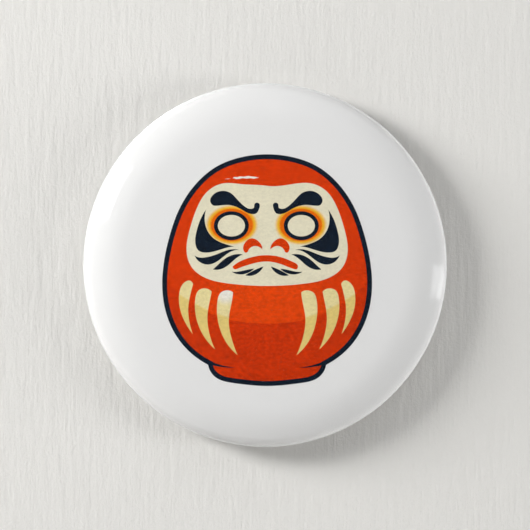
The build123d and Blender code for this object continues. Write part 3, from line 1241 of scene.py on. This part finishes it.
# ---------------------------------------------------------------- safety pin
@dataclass
class SafetyPin:
    """Fixed leg with its spring coil, clasp and moving needle."""

    wire_r: float = 0.4 * MM
    spacing: float = 3.4 * MM
    coil_x: float = -15.2 * MM
    leg_y: float = -2.55 * MM
    leg_z: float = 2.6 * MM
    turns: float = 1.5
    pitch: float = 0.85 * MM
    needle_length: float = 31 * MM
    point_length: float = 4 * MM
    point_belly: float = 1.35
    tip_r: float = 0.03 * MM
    sides: int = 20
    steps_per_turn: int = 72

    @property
    def needle_y(self) -> float:
        """Level of the needle."""
        return self.leg_y + self.turns * self.pitch

    @property
    def needle_z(self) -> float:
        """Height of the needle."""
        return self.leg_z - self.spacing

    def wire_line(self) -> np.ndarray:
        """Lays out the fixed leg and the coil, which eases into its pitch at both ends.

        Returns:
            The points of the wire's middle line.
        """
        leg_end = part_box("pin_wire")[1].x
        coil_r = self.spacing / 2
        points = [(x, self.leg_y, self.leg_z) for x in np.linspace(leg_end, self.coil_x, 24)[:-1]]
        steps = int(self.turns * self.steps_per_turn)
        for i in range(steps + 1):
            share = i / steps
            turn = share * self.turns * 2 * math.pi
            eased = share * share * (3 - 2 * share)
            points.append((
                self.coil_x - coil_r * math.sin(turn),
                self.leg_y + self.turns * self.pitch * eased,
                self.leg_z - coil_r + coil_r * math.cos(turn),
            ))
        return np.array(points)

    def needle_section(self) -> Section:
        """Lays out the needle's outline.

        Returns:
            (distance from the root, radius) from the root's round end to near the tip.
        """
        round_end = np.linspace(0, math.pi / 2, 9)
        ball = [(-self.wire_r * math.cos(t), self.wire_r * math.sin(t)) for t in round_end]
        straight = self.needle_length - self.point_length
        shank = [(share * straight, self.wire_r) for share in np.linspace(0.05, 1, 12)]
        point = []
        for share in np.linspace(0.08, 1, 14):
            radius = self.wire_r * (1 - share**self.point_belly) + self.tip_r * share
            point.append((self.needle_length - self.point_length * (1 - share), radius))
        return ball + shank + point

    def build_needle(self, material: bpy.types.Material) -> bpy.types.Object:
        """Builds the moving leg, root to point.

        Args:
            material: its metal.

        Returns:
            The leg.
        """
        section = self.needle_section()
        sides = self.sides
        points, faces = [], []
        for along, radius in section[1:]:
            for j in range(sides):
                turn = 2 * math.pi * j / sides
                points.append((self.coil_x + along, self.needle_y + radius * math.cos(turn),
                               self.needle_z + radius * math.sin(turn)))
        rings = len(section) - 1
        root, tip = len(points), len(points) + 1
        points.append((self.coil_x - self.wire_r, self.needle_y, self.needle_z))
        points.append((self.coil_x + self.needle_length, self.needle_y, self.needle_z))
        for j in range(sides):
            k = (j + 1) % sides
            faces.append((root, k, j))
            for i in range(rings - 1):
                faces.append((i * sides + j, i * sides + k, (i + 1) * sides + k, (i + 1) * sides + j))
            faces.append(((rings - 1) * sides + j, (rings - 1) * sides + k, tip))
        needle = make_piece("needle_leg", np.array(points), faces)
        outwards(needle)
        smooth(needle, 60)
        needle.data.materials.append(material)
        return needle

    def build_clasp(self, material: bpy.types.Material) -> bpy.types.Object:
        """Builds the folded clasp from its frame shape, with its sheet edges eased.

        Args:
            material: its metal.

        Returns:
            The clasp.
        """
        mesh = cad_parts["clasp_cap"].data.copy()
        mesh.materials.clear()
        clasp = make_object("clasp_guard", mesh)
        work = bmesh.new()
        work.from_mesh(mesh)
        bmesh.ops.remove_doubles(work, verts=work.verts, dist=1e-7)
        bmesh.ops.dissolve_limit(work, angle_limit=math.radians(1), verts=work.verts, edges=work.edges)
        work.to_mesh(mesh)
        work.free()
        finish_edges(clasp, SHEET_EASE, 50)
        clasp.data.materials.append(material)
        return clasp

    def build(self, groups: Groups) -> None:
        """Builds and dresses the pin's three pieces.

        Args:
            groups: the shared shader groups.
        """
        wire_metal = RolledMetal("pin_steel", (0.80, 0.795, 0.78), 0.17, 0.08, 0.06, 0.03).material(groups)
        clasp_metal = RolledMetal("clasp_steel", (0.79, 0.79, 0.785), 0.20, 0.08, 0.10, 0.03).material(groups)
        wire = make_line("pin_wire_and_coil", self.wire_line())
        run_tree(wire, wire_tree(wire_metal), {"Wire radius": self.wire_r, "Sides": self.sides})
        outwards(wire)
        smooth(wire, 50)
        needle = self.build_needle(wire_metal)
        clasp = self.build_clasp(clasp_metal)
        for piece, node, body in (
            (wire, "pin_wire", Body.SAFETY_PIN),
            (clasp, "clasp_cap", Body.SAFETY_PIN),
            (needle, "pin_needle", Body.NEEDLE),
        ):
            hand_over(piece, body, node)


# ---------------------------------------------------------------- back plate
@dataclass
class BackPlate:
    """Stamped tin back: recessed floor, stiffening bead, windows and the pin's bridges."""

    dome: DomeShape
    pin: SafetyPin
    low: Vector
    high: Vector
    thickness: float = 0.25 * MM
    wall_run: float = 2.4 * MM
    floor_fillet: float = 1.2 * MM
    bead_inset: float = 1.7 * MM
    bead_half: float = 0.9 * MM
    bead_height: float = 0.3 * MM
    bridge_width: float = 2.4 * MM
    bridge_spacing: float = 14 * MM
    bridge_foot: float = 1.62 * MM
    bridge_arch: float = 0.605 * MM
    foot_sink: float = 0.3
    slit: float = 0.15 * MM
    window_corner: float = 0.12 * MM
    rim_corner: float = 0.35 * MM
    segments: int = 192

    def section(self) -> np.ndarray:
        """Lays out the plate's section.

        Returns:
            Closed points (r, y), from the outer face's middle round to the inner one's.
        """
        floor = self.low.y + self.thickness
        rim = self.high.y
        wall_top = self.dome.radius - self.dome.lip - self.thickness
        floor_r = wall_top - self.wall_run
        bead = floor_r - self.bead_inset
        points = [(0.0, floor), (0.25 * bead, floor), (0.6 * bead, floor)]
        for share in np.linspace(-1, 1, 17):
            lift = self.bead_height * 0.5 * (1 + math.cos(math.pi * share))
            points.append((bead + share * self.bead_half, floor + lift))
        lean = math.atan2(rim - floor, self.wall_run)
        reach = self.floor_fillet * math.tan(lean / 2)
        for turn in np.linspace(0, lean, 9):
            points.append((floor_r - reach + self.floor_fillet * math.sin(turn),
                           floor + self.floor_fillet * (1 - math.cos(turn))))
        back_off = self.rim_corner * math.tan(lean / 2)
        for turn in np.linspace(lean, 0, 7):
            points.append((wall_top + back_off - self.rim_corner * math.sin(turn),
                           rim - self.rim_corner * (1 - math.cos(turn))))
        points.append((self.high.x, rim))
        top = np.array(points)
        run = np.gradient(top, axis=0)
        run /= np.linalg.norm(run, axis=1)[:, None]
        below = top + self.thickness * np.stack([run[:, 1], -run[:, 0]], 1)
        below[0, 0] = 0.0
        below[-1] = (self.high.x, rim - self.thickness)
        return np.vstack([top, below[::-1]])

    def cut_windows(self, plate: bpy.types.Object) -> None:
        """Cuts the openings that the lanced bridges leave.

        Args:
            plate: the plate, whose mesh is changed.
        """
        half_x = self.bridge_width / 2 + self.slit
        half_z = self.bridge_foot - self.thickness / 2
        floor = self.low.y
        for side in (-1, 1):
            work = bmesh.new()
            bmesh.ops.create_cube(work, size=1)
            for v in work.verts:
                v.co = Vector((v.co.x * 2 * half_x + side * self.bridge_spacing / 2,
                               v.co.y * 6 * self.thickness + floor,
                               v.co.z * 2 * half_z + self.pin.leg_z))
            upright = [e for e in work.edges if abs(e.verts[0].co.y - e.verts[1].co.y) > self.thickness]
            bmesh.ops.bevel(work, geom=upright, offset=self.window_corner, segments=3, affect="EDGES",
                            profile=0.5)
            mesh = bpy.data.meshes.new("window_tool")
            work.to_mesh(mesh)
            work.free()
            tool = make_object("window_tool", mesh)
            cut = plate.modifiers.new("window", "BOOLEAN")
            cut.operation = "DIFFERENCE"
            cut.solver = "EXACT"
            cut.object = tool
            apply_modifiers(plate)
            bpy.data.objects.remove(tool)

    def strap_line(self) -> np.ndarray:
        """Lays out a bridge over the pin's leg, square to X.

        Returns:
            The points of its middle line, from foot to foot.
        """
        floor = self.low.y + self.thickness
        foot = Vector((self.bridge_foot, floor - self.thickness * self.foot_sink))
        centre = Vector((0.0, self.pin.leg_y))
        apart = foot - centre
        away = math.atan2(apart.y, apart.x)
        swing = math.acos(self.bridge_arch / apart.length)
        touch = away + swing
        turns = np.linspace(touch, math.pi - touch, 17)
        crest = [centre + self.bridge_arch * Vector((math.cos(t), math.sin(t))) for t in turns]
        leg = [foot.lerp(crest[0], share) for share in (0, 0.35, 0.7)]
        other = [Vector((-point.x, point.y)) for point in reversed(leg)]
        return np.array([(0.0, point.y, self.pin.leg_z + point.x) for point in leg + crest + other])

    def build(self, groups: Groups) -> None:
        """Builds the plate with its bridges and dresses it.

        Args:
            groups: the shared shader groups.
        """
        material = RolledMetal("tinplate_back", (0.70, 0.705, 0.71), 0.27, 0.16, 0.14, 0.05).material(groups)
        plate = turned("back_plate_dish", self.section(), self.segments)
        self.cut_windows(plate)
        smooth(plate, 35)
        plate.data.materials.clear()
        plate.data.materials.append(material)
        straps = make_line("pin_bridges", self.strap_line())
        sizes = {"Strap width": self.bridge_width, "Strap thickness": self.thickness,
                 "Spacing": self.bridge_spacing, "Count": 2}
        run_tree(straps, bridges_tree(material), sizes)
        finish_edges(straps, SHEET_EASE)
        hand_over(plate, Body.BADGE, "back_plate")
        hand_over(straps, Body.BADGE, "back_plate", stands_in=False)


# ---------------------------------------------------------------- stage, lights and camera
def choose(tree: Tree, share: Socket, one: Node, other: Node, output: Node) -> None:
    """Sends one shader or another to an output.

    Args:
        tree: the tree.
        share: 0 for the one shader and 1 for the other.
        one: the one shader.
        other: the other.
        output: the tree's output node.
    """
    mix = tree.nodes.new("ShaderNodeMixShader")
    tree.links.new(share, mix.inputs[0])
    tree.links.new(one.outputs[0], mix.inputs[1])
    tree.links.new(other.outputs[0], mix.inputs[2])
    tree.links.new(mix.outputs[0], output.inputs["Surface"])


def level_sheet(name: str, corners: list[tuple[float, float, float]],
                material: bpy.types.Material) -> bpy.types.Object:
    """Makes one four-cornered face with a material."""
    sheet = make_piece(name, np.array(corners), [(0, 1, 2, 3)])
    sheet.data.materials.append(material)
    return sheet


@dataclass
class Stage:
    """Pale paper behind the badge, pale floor, soft lights and the camera."""

    paper_half: float = 0.5
    paper_gap: float = 2.4 * MM
    view_width: float = 82.3 * MM
    camera_distance: float = 0.62
    room_light: float = 0.2
    room_colour: Colour = (0.76, 0.755, 0.735)
    floor_half: float = 4.0
    floor_level: float = -0.5

    def paper_material(self) -> bpy.types.Material:
        """Finely ribbed warm-white paper, clear from behind and to mirror rays.

        Returns:
            The material.
        """
        material, tree, shader, place = start_material("stage_paper")
        ribs = noise(tree, stretched(tree, place, (1.0, 1.0, 0.14)), 900.0, 3.0, 0.6)
        fibres = noise(tree, place, 2300.0, 3.0, 0.7)
        height = calc(tree, "ADD", ribs, calc(tree, "MULTIPLY", fibres, 0.5))
        bump_node(tree, shader, height, 0.8, 0.2 * MM)
        shader.inputs["Base Color"].default_value = (0.80, 0.79, 0.765, 1)
        shader.inputs["Roughness"].default_value = 0.9
        shader.inputs["Specular IOR Level"].default_value = 0.1
        side = tree.nodes.new("ShaderNodeNewGeometry")
        seen = tree.nodes.new("ShaderNodeLightPath")
        clear = tree.nodes.new("ShaderNodeBsdfTransparent")
        hidden = calc(tree, "MAXIMUM", side.outputs["Backfacing"], seen.outputs["Is Glossy Ray"])
        choose(tree, hidden, shader, clear, tree.nodes["Material Output"])
        return material

    def floor_material(self) -> bpy.types.Material:
        """Plain pale floor.

        Returns:
            The material.
        """
        material, tree, shader, _ = start_material("stage_floor")
        shader.inputs["Base Color"].default_value = (0.8, 0.79, 0.77, 1)
        shader.inputs["Roughness"].default_value = 0.9
        glow = tree.nodes.new("ShaderNodeEmission")
        glow.inputs["Color"].default_value = rgba(self.room_colour)
        seen = tree.nodes.new("ShaderNodeLightPath")
        choose(tree, seen.outputs["Is Camera Ray"], shader, glow, tree.nodes["Material Output"])
        return material

    def build_backdrop(self) -> None:
        """Paper just behind the badge's rim, and a floor well below."""
        w, y = self.paper_half, self.paper_gap
        paper = level_sheet("stage_paper", [(-w, y, -w), (w, y, -w), (w, y, w), (-w, y, w)],
                            self.paper_material())
        far, low = self.floor_half, self.floor_level
        corners = [(-far, -far, low), (far, -far, low), (far, far, low), (-far, far, low)]
        floor = level_sheet("stage_floor", corners, self.floor_material())

    @staticmethod
    def area_light(name: str, place: Vector, size: float, power: float,
                   tint: Colour = (1, 1, 1), tall: float | None = None) -> None:
        """Adds a soft area light that faces the badge.

        Args:
            name: the light's name.
            place: where it stands.
            size: its width.
            power: its power in watts.
            tint: its colour.
            tall: its height, where it isn't square.
        """
        data = bpy.data.lights.new(name, "AREA")
        data.shape = "RECTANGLE"
        data.size = size
        data.size_y = tall or size
        data.energy = power
        data.color = tint
        light = bpy.data.objects.new(name, data)
        bpy.context.collection.objects.link(light)
        light.location = place
        light.rotation_euler = (-place).to_track_quat("-Z", "Y").to_euler()

    def build_lights(self) -> None:
        """Key from the upper left, weak fill, lights for the back, and a pale world."""
        self.area_light("key", Vector((-0.504, -0.291, 0.214)), 0.34, 3.95, (1.0, 0.997, 0.985), tall=0.17)
        self.area_light("rim_strip", Vector((0.62, -0.07, -0.06)), 0.7, 2.95, tall=0.12)
        self.area_light("high_soft", Vector((0.25, -0.6, 0.7)), 0.6, 1.2)
        self.area_light("back_panel", Vector((0.0, 1.0, 0.15)), 2.8, 10.5, tall=1.6)
        self.area_light("back_key", Vector((-0.35, 0.55, 0.45)), 0.25, 3.0)
        world = bpy.data.worlds.new("pale_room")
        bpy.context.scene.world = world
        world.use_nodes = True
        tree = world.node_tree
        sky = tree.nodes["Background"]
        sky.inputs["Color"].default_value = (0.98, 0.99, 1.0, 1)
        sky.inputs["Strength"].default_value = self.room_light
        wall = tree.nodes.new("ShaderNodeBackground")
        wall.inputs["Color"].default_value = rgba(self.room_colour)
        seen = tree.nodes.new("ShaderNodeLightPath")
        choose(tree, seen.outputs["Is Camera Ray"], sky, wall, tree.nodes["World Output"])

    def build_camera(self) -> None:
        """Camera square to the picture."""
        data = bpy.data.cameras.new("camera")
        data.sensor_width = 36.0
        data.lens = data.sensor_width * self.camera_distance / self.view_width
        data.clip_start = 0.01
        data.clip_end = 20.0
        camera = bpy.data.objects.new("camera", data)
        bpy.context.collection.objects.link(camera)
        camera.location = (0.0, cad_box[0][1] - self.camera_distance, 0.0)
        camera.rotation_euler = (math.radians(90), 0, 0)
        bpy.context.scene.camera = camera

    def build(self) -> None:
        """Builds the whole stage."""
        self.build_backdrop()
        self.build_lights()
        self.build_camera()
        bpy.context.scene.view_settings.view_transform = "Standard"


def main() -> None:
    """Builds the badge, piece by piece, and its stage."""
    logging.basicConfig(level=logging.INFO, format="%(name)s %(message)s")
    film_low, film_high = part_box("clear_film")
    plate_low, plate_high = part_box("back_plate")
    dome = DomeShape(radius=(film_high.x - film_low.x) / 2)
    groups = Groups()
    DomeSkins(dome).build(groups)
    Picture(dome).build(groups)
    pin = SafetyPin()
    BackPlate(dome, pin, plate_low, plate_high).build(groups)
    pin.build(groups)
    Stage().build()
    bpy.context.view_layer.update()


if __name__ == "__main__":
    main()
